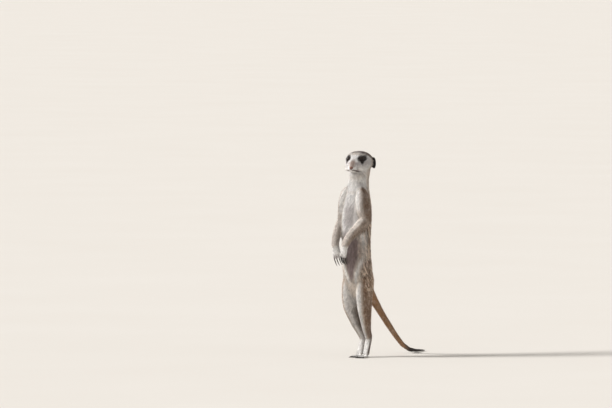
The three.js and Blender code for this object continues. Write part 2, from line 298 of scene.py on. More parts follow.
def eye_angles(face, side):
    """How far points on the face's axes are from one eye's middle, how far out of its opening (1 is its rim),
    and how many degrees above the line between its corners."""
    BEHIND = 9.0
    away = face * [side, 1, 1] - EYE_MIDDLE
    level = unit(np.array([EYE_GAZE[1], -EYE_GAZE[0], 0]))
    upright = np.cross(level, EYE_GAZE)
    slant = math.radians(EYE_SLANT)
    across = level * math.cos(slant) + upright * math.sin(slant)
    over = upright * math.cos(slant) - level * math.sin(slant)
    ahead = away @ EYE_GAZE
    turn = np.degrees(np.arctan2(away @ across, ahead))
    rise = np.degrees(np.arctan2(away @ over, ahead))
    out = np.hypot(turn / EYE_OPENING[0], rise / EYE_OPENING[1])
    return np.linalg.norm(away, axis=1), np.where(ahead > 0, out, BEHIND), rise


def near_eyes(points, reach):
    face = on_face(points)
    return np.linalg.norm(np.abs(face * [1, 0, 0]) + face * [0, 1, 1] - EYE_MIDDLE, axis=1) < reach


def near_mouth(points, reach):
    face = on_face(points)
    height, _ = mouth_line(face)
    in_reach = (face[:, 1] > 0) & (face[:, 1] < MOUTH_END) & (np.abs(face[:, 0]) < MOUTH_SIDE + 1)
    return (np.abs(height) < reach) & in_reach


def near_nose(points, reach):
    return np.linalg.norm(points - NOSE, axis=1) < reach * MM


def face_detail(points, by_eyes, by_mouth, by_nose):
    return near_eyes(points, by_eyes) | near_mouth(points, by_mouth) | near_nose(points, by_nose)


def with_lids(face):
    """Parts the skin over each eyeball, and draws it over the ball's edge as a pair of lids."""
    LID = 0.3  # the lids' thickness
    SUNK = 0.9  # how far the skin lies inside the eyeball, where it is open
    REACH = 9
    ROLL, CREASE = 0.12, 0.2  # the lids' rolled edge and the fold round them
    face = face.copy()
    for side in SIDES.values():
        r, out, rise = eye_angles(face, side)
        middle = EYE_MIDDLE * [side, 1, 1]
        opened = ramp(1.14, 0.92, out)
        folds = ROLL * hump(out, 1.22, 0.16) - CREASE * hump(out, 1.75, 0.16) * (rise > -10)
        lid = EYE_RADIUS + LID + folds
        hug = ramp(2.5, 1.3, out)
        covered = r + (lid - r) * hug
        target = opened * (EYE_RADIUS - SUNK) + (1 - opened) * covered
        new_r = np.where((r < REACH) & (out < 2.6), target, r)
        face = middle + (face - middle) * (new_r / np.maximum(r, 1e-6))[:, None]
    return face


def claw_ends(word, end, n):
    """The middle of a claw's root, and its tip."""
    HALF_TOE = np.array([0, 0, 3 * MM])
    hand, foot = centre(f"{word}_forepaw"), centre(f"{word}_hind_foot")
    paw = hand if end == "fore" else foot * [1, 1, 0] + HALF_TOE
    points = read_points(frame["nodes"][f"{word}_{end}_claw_{n}"].data)
    reach = np.linalg.norm(points - paw, axis=1)
    return points[reach < reach.min() + 0.15 * np.ptp(reach)].mean(0), points[reach.argmax()]


def toes_relief(points, word, end):
    """How deep the clefts between one paw's toes are at each point, less how far the toes stand out."""
    CLEFT, TOE, FRONT_CLEFT = 1.0, 0.22, 1.3  # in millimetres
    claw_roots = np.array([claw_ends(word, end, n)[0] for n in TOES])
    wrist = centre(f"{word}_forearm") if end == "fore" else centre(f"{word}_hind_foot") * [1, 1, 0]
    across = unit(claw_roots[-1] - claw_roots[0])
    spacing = np.linalg.norm(claw_roots[-1] - claw_roots[0]) / 3
    ahead = claw_roots.mean(0) - wrist
    ahead = unit(ahead - across * (ahead @ across))
    away = points - claw_roots.mean(0)
    side, forward = away @ across / spacing, away @ ahead / MM
    cleft = sum(hump(side, middle, 0.24) for middle in (-1, 0, 1))
    toe = sum(hump(side, middle, 0.28) for middle in (-1.5, -0.5, 0.5, 1.5))
    along_toes = (CLEFT * cleft - TOE * toe) * ramp(-9, -3.5, forward)
    return along_toes + FRONT_CLEFT * cleft * ramp(-2.2, 0.4, forward)


def paw_detail(points):
    TOE_HEIGHT, HAND_REACH = 9 * MM, 12 * MM
    low = np.isin(np.array(NODES)[nearest_solid(*SOLIDS, points)[0]], ["left_hind_foot", "right_hind_foot"])
    low &= points[:, 2] < TOE_HEIGHT
    left, right = (np.linalg.norm(points - centre(f"{word}_forepaw"), axis=1) < HAND_REACH for word in SIDES)
    return low | left | right


def rough_skin():
    """One closed skin over all the flesh, its facets smoothed away, with finer faces where the detail is."""
    VOXEL = 1.04 * MM
    SHOULDER_HEIGHT, SHOULDER_REACH = 249, 17  # where neck, arms and trunk flow into each other
    piece = flesh_block()
    remesh = piece.modifiers.new("one_body", "REMESH")
    remesh.mode = "VOXEL"
    remesh.voxel_size = VOXEL
    settled(piece)
    mesh = piece.data
    points = read_points(mesh)
    owner, _ = nearest_solid(*SOLIDS, points)
    web = Web(mesh)
    softness = web.spread(COAT_OF_NODE[owner, SOFTNESS], 8)
    points = web.spread(points, 30, softness * 0.6)
    joints = np.isin(np.array(NODES)[owner], ["neck", "trunk", "left_upper_arm", "right_upper_arm"])
    shoulders = web.spread(joints * hump(points[:, 2] / MM, SHOULDER_HEIGHT, SHOULDER_REACH), 6)
    write_points(mesh, web.spread(points, 220, shoulders * 0.6))
    refined(mesh, lambda place: face_detail(place, 9.5, 3.0, 6.5) | paw_detail(place))
    refined(mesh, lambda place: face_detail(place, 7.4, 1.2, 4.5))
    return piece


def coat_room(points):
    """The coat's depth at each point, how far inside the solids the point lies already, and its node."""
    owner, inside = nearest_solid(*SOLIDS, points)
    _, ahead, up = on_face(points).T
    muzzle = ramp(2, 12, ahead) * ramp(NECK_TOP - 2, NECK_TOP + 2, up)
    return COAT_OF_NODE[owner, DEPTH] * (1 - 0.65 * muzzle), inside, owner


def sculpt(piece):
    """Lowers the skin by the coat's depth, and gives the face its lids, lips and folds."""
    FALL = (-0.3, 4.0)  # the least and the most that it goes in
    LIP_GROOVE, UPPER_LIP, LOWER_LIP, NOSE_GROOVE, NOSE_BED = 0.75, 0.28, 0.2, 0.45, 1.3
    mesh = piece.data
    web = Web(mesh)
    points = read_points(mesh)
    depth, inside, owner = coat_room(points)
    depth = web.spread(depth, 80, 0.6 * (on_face(points)[:, 2] < -20) + 0.2)
    fall = np.clip(depth - inside, *FALL)
    points = points - normals_of(mesh) * (web.spread(fall, 4) * MM)[:, None]
    write_points(mesh, points)
    face = on_face(points)
    left, ahead, up = face.T
    height, front = mouth_line(face)
    lips = front * (up > NECK_TOP - 2) * (ahead < MOUTH_END)
    groove = LIP_GROOVE * hump(height, 0, 0.42) - UPPER_LIP * hump(height, 1.25, 0.8)
    groove -= LOWER_LIP * hump(height, -1.2, 0.7)
    under_leather = ramp(1.15, 0.75, np.linalg.norm((face - NOSE_PLACE) / [3.1, 3.4, 2.4], axis=1))
    under_nose = hump(left, 0, 0.4) * ramp(12, 15, ahead) * ramp(-11, -13, up) * (height > 0)
    push = groove * lips + NOSE_GROOVE * under_nose + NOSE_BED * under_leather
    names = np.array(NODES)[owner]
    for word in SIDES:
        push += toes_relief(points, word, "fore") * (names == f"{word}_forepaw")
        push += toes_relief(points, word, "hind") * (names == f"{word}_hind_foot") * (points[:, 2] > 0.6 * MM)
    points = points - normals_of(mesh) * (push * MM)[:, None]
    write_points(mesh, from_face(with_lids(on_face(points))))
    mesh.shade_smooth()
    return owner


SOLIDS = solids_tree(NODES)
skin = rough_skin()
owners = sculpt(skin)

# The skin as arrays. Distances on the face's axes, across and up the body are in millimetres.
POINTS = read_points(skin.data)
NORMALS = normals_of(skin.data)
TRIANGLES = triangles_of(skin.data)
WEB = Web(skin.data)
SKIN_TREE = BVHTree.FromPolygons(POINTS.tolist(), TRIANGLES.tolist())
NODE = np.array(NODES)[owners]
KIND = np.array([kind_of(name) for name in NODES])[owners]
IN_HEAD = np.isin(KIND, ["head", "lower_jaw", "eye", "nose"])
FACE = on_face(POINTS)
ASIDE, AHEAD, ABOVE = np.abs(FACE[:, 0]), FACE[:, 1], FACE[:, 2]
ACROSS, HEIGHT = (POINTS[:, 0] - centre("trunk")[0]) / MM, POINTS[:, 2] / MM
BACKWARD = NORMALS[:, 1]
OUTWARD = NORMALS[:, 0] * np.where(ACROSS > 0, 1, -1)
TURNED = 0.78 * BACKWARD + 0.55 * OUTWARD  # how far a limb's surface faces back and out

# ---- Markings ----


def kind_mask(*kinds, rounds=12):
    """How much each point of the skin belongs to these kinds of part, 0 to 1, soft at the edges."""
    return WEB.spread(np.isin(KIND, kinds).astype(float), rounds)


HEAD = kind_mask("head", "lower_jaw", "eye", "nose", "ear")
NECK, TRUNK = kind_mask("neck"), kind_mask("trunk")
ARM, FOREARM = kind_mask("upper_arm"), kind_mask("forearm")
THIGH, SHANK = kind_mask("thigh"), kind_mask("shank")
TAIL = kind_mask("tail_root", "tail_middle", "tail_tip")

# Places that more than one colour marks, or keeps clear of.
TAIL_END = TAIL * ramp(-46, -24, (POINTS[:, 1] - centre("tail_tip")[1]) / MM)
HAUNCH = np.maximum(THIGH, SHANK) * ramp(-0.55, -0.05, TURNED) * ramp(48, 66, HEIGHT)
BELLY_MIDDLE = 2.5  # to the left of the trunk's
BELLY_HALF = 10.0 * ramp(114, 165, HEIGHT) + 2.0  # half the dark patch's width at each height
PAST_BELLY = np.abs(ACROSS - BELLY_MIDDLE) - BELLY_HALF
BELLY = TRUNK * ramp(2.5, -2.5, PAST_BELLY) * ramp(-0.2, -0.6, BACKWARD)
BESIDE_BELLY = TRUNK * hump(PAST_BELLY, 3.6, 2.0) * ramp(112, 122, HEIGHT) * ramp(0.1, -0.3, BACKWARD)
BRIDGE = HEAD * ramp(6.5, 1.5, ASIDE) * ramp(5, 12, AHEAD) * ramp(-13.5, -10, ABOVE)
OVER_LIPS, NEAR_MOUTH = mouth_line(FACE)
LIPS = NEAR_MOUTH * HEAD * (AHEAD < MOUTH_END) * ramp(MOUTH_SIDE, MOUTH_SIDE - 3, ASIDE)


def back_bars():
    """The dark bars across the back, a little wavy."""
    PITCH, WAVE, WAVES = 13.0, 0.9, 0.25
    bars = ramp(0.1, 0.75, np.sin(HEIGHT / PITCH * math.tau + WAVE * np.sin(ACROSS * WAVES)))
    return bars * TRUNK * ramp(0.35, 0.8, BACKWARD) * ramp(98, 112, HEIGHT) * ramp(215, 190, HEIGHT)


BARS = back_bars()


def grizzled():
    """The banded hair of the back and flanks, the nape and the limbs' outer sides."""
    flanks = ramp(-0.85, -0.2, BACKWARD) * hump(HEIGHT, 140, 42)
    marks = TRUNK * np.maximum(ramp(-0.35, 0.35, BACKWARD), flanks)
    marks += 0.75 * NECK * ramp(-0.1, 0.7, BACKWARD) + 0.35 * HEAD * ramp(-16, -26, AHEAD)
    marks += THIGH * (0.9 * ramp(-0.62, 0.05, TURNED) + 0.1)
    marks += SHANK * (0.9 * ramp(-0.60, 0.05, TURNED) + 0.1)
    marks += 0.85 * ARM * ramp(-0.65, 0.3, TURNED)
    marks += FOREARM * (0.2 + 0.5 * ramp(-0.2, 0.6, 0.6 * BACKWARD + 0.6 * OUTWARD))
    return marks * (1 - 0.8 * BESIDE_BELLY) * (1 - HEAD * ramp(-12, -4, AHEAD))


def ochre():
    """The warm brown of the tail, rump and haunches, and of the muzzle's bridge."""
    rump = hump(HEIGHT, 108, 24) * ramp(-0.3, 0.6, BACKWARD) * np.maximum(TRUNK, THIGH)
    return TAIL + (0.8 * rump + 0.5 * HAUNCH) * (1 - TAIL) + 0.6 * BRIDGE * ramp(9, 14, AHEAD)


def dusky():
    """The thin-haired belly and chest, the hands, and painted shade on the cheeks and beside the muzzle."""
    low_belly = ramp(112, 128, HEIGHT) * ramp(200, 178, HEIGHT)
    high_belly = ramp(170, 190, HEIGHT) * ramp(247, 232, HEIGHT)
    chest = TRUNK * ramp(196, 208, HEIGHT) * ramp(238, 226, HEIGHT) * ramp(-0.2, -0.6, BACKWARD)
    groin = THIGH * ramp(-0.2, -0.8, BACKWARD) * hump(HEIGHT, 122, 10) * ramp(10, 4, np.abs(ACROSS))
    # Painted shade: the cheeks and the muzzle's sides, darkened alike on both sides of the face
    cheek = HEAD * hump(ABOVE, -6, 6.5) * ramp(4, 9, ASIDE) * ramp(-22, -12, AHEAD) * ramp(15, 8, AHEAD)
    muzzle = HEAD * hump(ASIDE, 5.5, 2.8) * ramp(4, 8, AHEAD) * ramp(15, 12, AHEAD) * ramp(-3, -6, ABOVE)
    marks = BELLY * (low_belly + 0.16 * high_belly) + 0.35 * chest * ramp(10, 5, np.abs(ACROSS - 1))
    marks += 0.75 * kind_mask("forepaw", rounds=3) * ramp(160, 148, HEIGHT)
    return marks + 0.5 * groin + 0.4 * BARS + 0.42 * cheek + 0.65 * muzzle


def black():
    """The patches round the eyes, each drawn down to a tear, the lips' line, the ears and the tail's end."""
    PATCH_HALF = (8.4, 4.6)  # half the patch's length and height
    PATCH_WAY = (0.67, -0.745)  # the way of its length over the face, aside and ahead
    PATCH_RISE = 0.17
    ASIDE_OF_NOSE = 10.6
    TEAR_LENGTH, TEAR_HALF = 9.0, 5.0
    ear = ramp(0.25, 0.55, kind_mask("ear", rounds=6))
    marks = np.max([ear, 0.6 * hump(OVER_LIPS, 0, 0.55) * LIPS, 0.96 * TAIL_END], axis=0)
    fallen = np.clip(-ABOVE / TEAR_LENGTH, 0, 1.2)
    for way in SIDES.values():
        along = (FACE[:, 0] * way - ASIDE_OF_NOSE) * PATCH_WAY[0] + (AHEAD + 1.2) * PATCH_WAY[1]
        from_middle = along + 1.8
        above = ABOVE - 0.6 - PATCH_RISE * from_middle
        patch = np.hypot(from_middle / PATCH_HALF[0], above / PATCH_HALF[1])
        tear = np.abs(along + 3.0 + 0.9 * fallen) / (TEAR_HALF * (1 - fallen) + 0.6)
        tear = ramp(1.15, 0.85, tear) * ramp(-8.4, -6.4, ABOVE) * (ABOVE < 0.5)
        near = np.linalg.norm(FACE - EYE_MIDDLE * [way, 1, 1], axis=1) < 13
        marks = np.maximum(marks, near * np.maximum(ramp(1.13, 0.87, patch), tear))
    return marks


def brown():
    """The cap, the bridge, the bars and the dark backs of the limbs and tail, partly painted shade on the
    forearms and shanks, and a painted shadow under the jaw.
    """
    CAP_EDGE, CAP_SLOPE, CAP_FALL = 8.4, 0.5, 0.012  # its height over the brow, rising ahead, falling behind
    over_cap = ABOVE - (CAP_EDGE + CAP_SLOPE * (AHEAD + 2) - CAP_FALL * np.minimum(AHEAD + 8, 0) ** 2)
    cap = 0.95 * HEAD * ramp(-1.6, 1.4, over_cap) * ramp(-30, -22, ABOVE)
    cap += 0.15 * HEAD * hump(over_cap, 1.6, 2.4) * ramp(2.5, 6, ASIDE) * ramp(-20, -14, AHEAD)
    cap += 0.33 * HEAD * ramp(3, 8, ABOVE) * ramp(10, 5, ASIDE) * ramp(-12, -6, AHEAD)
    # A painted shadow along the underside of the jaw
    painted_jaw_shadow = np.maximum(HEAD, NECK) * hump(ABOVE, -20.5, 2.8) * ramp(-9, -4, AHEAD)
    legs = np.maximum(kind_mask("hind_foot"), SHANK)
    places = [
        cap,
        0.6 * BRIDGE + 0.3 * BRIDGE * ramp(3.5, 1.5, ASIDE) * ramp(11, 15, AHEAD),
        0.3 * painted_jaw_shadow * ramp(15, 9, ASIDE),
        0.95 * hump(OVER_LIPS, -0.1, 1.1) * LIPS,
        BARS,
        # The forearm's back: darker fur, with painted shade on its underside
        0.7 * FOREARM * ramp(0.0, 0.55, BACKWARD - 0.6 * NORMALS[:, 2]),
        0.4 * HAUNCH * hump(HEIGHT, 80, 22),
        # The shank's inner back: darker fur, with painted shade on the side turned from the light
        0.6 * SHANK * ramp(0.3, 0.8, 0.4 * BACKWARD - OUTWARD) * hump(HEIGHT, 62, 24),
        0.75 * TAIL * ramp(0.0, 0.7, NORMALS[:, 2]) + 0.5 * TAIL_END,
        0.9 * legs * hump(HEIGHT, 34, 7) * ramp(0.2, 0.7, BACKWARD),
        0.75 * legs * ramp(-0.3, 0.4, TURNED) * ramp(2, 8, HEIGHT) * ramp(44, 30, HEIGHT),
    ]
    return np.max(places, axis=0)


def white():
    """The face, brows, throat and chest, the feet and the limbs' inner sides."""
    feet = kind_mask("hind_foot", rounds=40) * ramp(40, 26, HEIGHT) + kind_mask("forepaw", rounds=40)
    places = [
        HEAD * ramp(6.5, 3.5, ABOVE) * ramp(-16, -9, AHEAD),
        0.9 * HEAD * hump(ABOVE, 7.6, 1.6) * ramp(16, 12, ASIDE) * ramp(3.5, 6, ASIDE),
        NECK * ramp(0.45, -0.25, BACKWARD),
        TRUNK * ramp(0.35, -0.4, BACKWARD) * ramp(178, 200, HEIGHT),
        BESIDE_BELLY,
        0.9 * feet + 0.9 * (THIGH + SHANK) * ramp(-0.35, -0.8, TURNED),
        (0.8 * ARM + 0.35 * FOREARM) * ramp(0.4, -0.4, TURNED),
    ]
    return np.max(places, axis=0)


# Each point's share of each colour, 0 to 1. The first three are kept as body_marks, the others as face_marks.
MARKS = np.clip(np.stack([grizzled(), ochre(), dusky(), black(), brown(), white()], 1), 0, 1)
DUSKY_MARK = 2


def put_marks(mesh, marks, along=None, tuft=None, clump=None):
    """Stores the markings, and the tufts' own shades, as attributes of the mesh."""
    opaque = np.ones((len(marks), 1))
    for name, part in (("body_marks", marks[:, :3]), ("face_marks", marks[:, 3:])):
        layer = mesh.attributes.new(name, "FLOAT_COLOR", "POINT")
        layer.data.foreach_set("color", np.concatenate([part, opaque], 1).ravel().astype(np.float32))
    for name, values in (("along", along), ("tuft", tuft), ("clump", clump)):
        if values is not None:
            layer = mesh.attributes.new(name, "FLOAT", "POINT")
            layer.data.foreach_set("value", values.astype(np.float32))


# ---- The coat's lie and measures ----


def tail_course():
    """The tail's fall along its length: its height and its side for each step back, as two curves."""
    picked = np.char.startswith(KIND, "tail")
    y, z, x = POINTS[picked, 1], POINTS[picked, 2], POINTS[picked, 0]
    return np.polyfit(y, z, 5), np.polyfit(y, x, 4)


def coat_lie():
    """The way the hair lies at each point of the skin, as unit vectors along the surface."""
    FOLLOWING = {"upper_arm": "forearm", "forearm": "forepaw", "forepaw": "fore_claw_2"}
    FOLLOWING |= {"thigh": "shank", "shank": "hind_foot"}
    lie = np.tile(DOWN, (len(POINTS), 1))
    for word in SIDES:
        for part, following in FOLLOWING.items():
            lie[NODE == f"{word}_{part}"] = unit(centre(f"{word}_{following}") - centre(f"{word}_{part}"))
        lie[NODE == f"{word}_ear"] = unit((centre(f"{word}_ear") - centre("head")) * [1, 1, 0.2])
    foot = KIND == "hind_foot"
    low = ramp(15, 6, HEIGHT[foot])[:, None]
    lie[foot] = FRONT * low + DOWN * (1 - low)
    falls, sides = (np.polyder(curve) for curve in tail_course())
    tail = np.char.startswith(KIND, "tail")
    y = POINTS[tail, 1]
    lie[tail] = unit(np.stack([np.polyval(sides, y), np.ones(len(y)), np.polyval(falls, y)], 1))
    from_nose = unit(POINTS - NOSE)
    down = (ramp(-8, -28, AHEAD) + 0.6 * ramp(-18, NECK_TOP, ABOVE))[:, None]
    lie[IN_HEAD] = unit(from_nose * (1 - np.clip(down, 0, 1)) + DOWN * down)[IN_HEAD]
    for _ in range(6):
        lie = WEB.spread(lie, 8)
        lie = unit(lie - NORMALS * np.sum(lie * NORMALS, 1)[:, None])
    return lie


def bare_skin(rim):
    """Where no hair grows: the lids' edges, the nose, the lips, the soles and the deepest folds."""
    lips, front = mouth_line(FACE)
    nose = np.linalg.norm((FACE - NOSE_PLACE) / [2.9, 2.8, 2.3], axis=1) < 1
    sole = (POINTS[:, 2] < 2.5 * MM) & (NORMALS[:, 2] < -0.5)
    hollow = np.stack([WEB.around(column) for column in POINTS.T], 1) - POINTS
    folded = (np.sum(hollow * NORMALS, 1) > 0.16 * MM) & (ABOVE < NECK_TOP) & (HEIGHT > 40)
    mouth = IN_HEAD & (np.abs(lips) < 0.35) & (front > 0.5) & (AHEAD < MOUTH_END) & (ASIDE < MOUTH_SIDE)
    return (rim < 1.06) & near_eyes(POINTS, 9) | nose | sole | mouth | folded


LENGTHS, HALF_WIDTHS, HEIGHTS, DENSITIES, TOUSLED, SWEPT = range(6)


def coat_measures():
    """Each point's tuft length, half width, height, tufts to a square millimetre, tousling and sweep."""
    length, width, height, density = COAT_OF_NODE[owners][:, [LENGTH, WIDTH, DEPTH, DENSITY]].T
    trunk = KIND == "trunk"
    muzzle = IN_HEAD * ramp(0, 12, AHEAD)
    length = length * (1 - 0.62 * muzzle)
    height = height * (1 - 0.65 * muzzle) * (1 - 0.3 * IN_HEAD * ramp(8, 0, AHEAD))
    flank = trunk * ramp(-0.8, -0.1, BACKWARD) * hump(HEIGHT, 150, 45)
    length *= 1 + 0.25 * flank
    height *= 1 + 0.25 * flank
    rim = np.minimum(*[eye_angles(FACE, way)[1] for way in SIDES.values()])
    close = IN_HEAD * near_eyes(POINTS, 12) * ramp(3.2, 1.4, rim)
    length = length * (1 - close) + 1.1 * close
    height = height * (1 - close) + 0.35 * close
    length *= 1 - 0.33 * trunk * ramp(0.2, -0.6, BACKWARD)
    length *= 1 - 0.3 * (KIND == "hind_foot") * ramp(10, 4, HEIGHT)
    tousled = np.isin(KIND, ["trunk", "thigh"]) * ramp(-0.75, -0.1, BACKWARD)
    tousled *= ramp(84, 110, HEIGHT) * ramp(236, 205, HEIGHT) * (1 - 0.6 * ramp(0.45, 0.85, BACKWARD))
    swept = ramp(-36, NECK_TOP, ABOVE)
    fields = np.stack([length, width, height, density, tousled, swept], 1)
    fields = WEB.spread(fields, 120, 0.6 * (ABOVE < NECK_TOP) + 0.08)
    fields[:, DENSITIES] *= 1 - bare_skin(rim)
    fields[:, DENSITIES] *= 1 - 0.45 * MARKS[:, DUSKY_MARK]
    return fields


LIE = coat_lie()
MEASURES = coat_measures()

# ---- Tufts ----

PATCH = 0.003  # how much of the coat's map one tuft covers
TUFT_RING = np.array([(-1.0, -0.45), (1.0, -0.45), (0.0, 0.9)])


def strands(courses, across, over, girth, thickness):
    """Closed three-sided strands, each along its own course of points, the last of which is its tip.
    Gives the points, the faces' corners and the faces' sizes."""
    count, steps, _ = courses.shape
    rings = courses[:, :-1, None, :]
    a, b = TUFT_RING.T[:, None, None, :, None]
    flat = across[:, None, None, :] * a * girth[:, :-1, None, None]
    high = over[:, None, None, :] * b * thickness[:, :-1, None, None]
    points = np.concatenate([(rings + flat + high).reshape(count, -1, 3), courses[:, -1:, :]], 1)
    tip = 3 * (steps - 1)
    pairs = ((0, 1), (1, 2), (2, 0))
    corners = []
    for k in range(steps - 2):
        corners += [n for i, j in pairs for n in (3 * k + i, 3 * k + j, 3 * k + 3 + j, 3 * k + 3 + i)]
    for i, j in pairs:
        corners += [tip - 3 + i, tip - 3 + j, tip]
    corners += [0, 2, 1]
    sizes = [4] * (3 * (steps - 2)) + [3] * 4
    starts = np.arange(count)[:, None] * (tip + 1)
    return points.reshape(-1, 3), (starts + np.array(corners)).ravel(), np.tile(sizes, count)


def strand_piece(name, points, corners, sizes):
    mesh = bpy.data.meshes.new(name)
    mesh.vertices.add(len(points))
    mesh.vertices.foreach_set("co", points.ravel())
    mesh.loops.add(len(corners))
    mesh.loops.foreach_set("vertex_index", corners)
    mesh.polygons.add(len(sizes))
    mesh.polygons.foreach_set("loop_start", np.cumsum(sizes) - sizes)
    mesh.update(calc_edges=True)
    mesh.shade_smooth()
    piece = bpy.data.objects.new(name, mesh)
    bpy.context.scene.collection.objects.link(piece)
    return piece


def rooted():
    """The tufts' roots, scattered over the skin: each one's face, and its shares of the three corners."""
    a, b, c = (POINTS[corner] for corner in TRIANGLES.T)
    area = np.linalg.norm(np.cross(b - a, c - a), axis=1) / 2 / MM**2
    wanted = area * MEASURES[TRIANGLES, DENSITIES].mean(1)
    number = np.floor(wanted + chance.random(len(wanted))).astype(int)
    faces = np.repeat(np.arange(len(TRIANGLES)), number)
    r, s = np.sqrt(chance.random(len(faces))), chance.random(len(faces))
    shares = np.stack([1 - r, r * (1 - s), r * s], 1)
    return faces, shares


def at_roots(values, faces, shares):
    return np.einsum("ij,ijk->ik", shares, values[TRIANGLES[faces]])


def laid_on_skin(points, height):
    """The points drawn to their height over the nearest skin."""
    found = [SKIN_TREE.find_nearest(p) for p in points.tolist()]
    place = np.array([f[0] for f in found])
    normal = np.array([f[1] for f in found])
    return place + normal * height[:, None], normal


def grow(roots):
    """Where the tufts start and end, and which of them are clear of the body's folds."""
    STRAY = 0.16  # radians
    ROOT_DEPTH = 0.2 * MM
    CLEAR = 0.25  # the others would cross a fold of the body
    place, normal, lie = roots["place"], roots["normal"], roots["lie"]
    length, height, count = roots["length"], roots["height"], len(roots["place"])
    turn = chance.normal(0, STRAY, count)[:, None]
    lie = unit(lie * np.cos(turn) + np.cross(normal, lie) * np.sin(turn))
    length = length * (0.75 + 0.5 * chance.random(count))
    tip, over = laid_on_skin(place + lie * length[:, None], height * (0.75 + 0.35 * chance.random(count)))
    return place - normal * ROOT_DEPTH, tip, np.sum(normal * over, 1) > CLEAR


def locks(place, size, squat):
    """Parts the tufts into locks of about that many, each round a middle tuft. Gives the middles, and the
    lock that each tuft is in."""
    count = len(place)
    middles = chance.permutation(count)[: max(1, int(count / size))]
    flat = place * [1, 1, squat]  # makes the locks taller than they are wide
    tree = KDTree(len(middles))
    for n, i in enumerate(middles):
        tree.insert(flat[i], n)
    tree.balance()
    return middles, np.array([tree.find(p)[1] for p in flat.tolist()])


def gathered(tip, middles, lock, pull):
    """Draws each tuft's tip toward that of the middle tuft of its lock."""
    pull = (pull * (0.5 + chance.random(len(tip))))[:, None]
    return tip + (tip[middles[lock]] - tip) * pull


def unwrapped(place, nodes, names):
    """Each root's place on the skin's unwrap: every part round its own length, in its own field."""
    uv = np.zeros((len(place), 2))
    columns = math.ceil(math.sqrt(len(names)))
    rows = math.ceil(len(names) / columns)
    for n, name in enumerate(names):
        picked = nodes == name
        if not picked.any():
            continue
        away = place[picked] - place[picked].mean(0)
        axes = np.linalg.svd(away, full_matrices=False)[2]
        long, one, two = (away @ axis for axis in axes)
        angle = np.arctan2(one, two)
        around = (angle - angle.min()) / np.ptp(angle)
        along = (long - long.min()) / np.ptp(long)
        corner = np.array([n % columns, n // columns])
        uv[picked] = (corner + 0.02 + 0.96 * np.stack([around, along], 1)) / [columns, rows]
    return uv


COAT_PIECES = {
    # the nodes it covers, its slot, the tufts in a lock, how far they gather and how squat the locks are
    "head_coat": (["head", "nose"], "pale_coat", 16, 0.35, 1.0),
    "face_coat": (["lower_jaw", "left_eye", "right_eye"], "pale_coat", 12, 0.3, 1.0),
    "ear_coat": (["left_ear", "right_ear"], "ear_coat", 8, 0.3, 1.0),
    "neck_coat": (["neck"], "pale_coat", 26, 0.45, 0.6),
    "chest_coat": (["trunk"], "pale_coat", 26, 0.45, 0.5),
    "left_flank_coat": (["trunk"], "grizzled_coat", 40, 0.5, 0.4),
    "right_flank_coat": (["trunk"], "grizzled_coat", 40, 0.5, 0.4),
    "left_arm_coat": (["left_upper_arm", "left_forearm", "left_forepaw"], "pale_coat", 22, 0.42, 0.6),
    "right_arm_coat": (["right_upper_arm", "right_forearm", "right_forepaw"], "pale_coat", 22, 0.42, 0.6),
    "left_leg_coat": (["left_thigh", "left_shank", "left_hind_foot"], "grizzled_coat", 26, 0.45, 0.5),
    "right_leg_coat": (["right_thigh", "right_shank", "right_hind_foot"], "grizzled_coat", 26, 0.45, 0.5),
    "tail_coat": (["tail_root", "tail_middle", "tail_tip"], "tail_coat", 18, 0.35, 0.7),
}
MOST_TUFTS = 49900  # in one piece of the coat


def tuft_normals(roots, across, over, way, corners):
    """The normals at the tufts' corners: near to the skin's, so that the coat takes the light as one surface,
    and turned a little to each tuft's own sides and toward its tip."""
    ROUND = 0.7
    TOWARD_TIP = [0.1, 0.1, 0.1, 0.75]  # at the root's three corners and the tip
    SWEPT_TOWARD_TIP = [0.6, 0.6, 0.6, 0.7]  # and this much more where the hair is swept off the nose
    ring = (across[:, None, :] * TUFT_RING[:, :1] + over[:, None, :] * TUFT_RING[:, 1:]) * ROUND
    ring = np.concatenate([ring, ring[:, :1] * 0], 1)
    lean = (TOWARD_TIP + roots["swept"][:, None] * SWEPT_TOWARD_TIP)[:, :, None]
    soft = unit(ring + way[:, None, :] * lean + roots["normal"][:, None, :])
    normals = soft[np.arange(len(way))[:, None], corners.reshape(-1, 12) % 4]
    swept = roots["swept"] > 0.5
    normals[swept, :3] = unit(way - over)[swept, None]  # their undersides, which show from behind
    return normals.reshape(-1, 3)


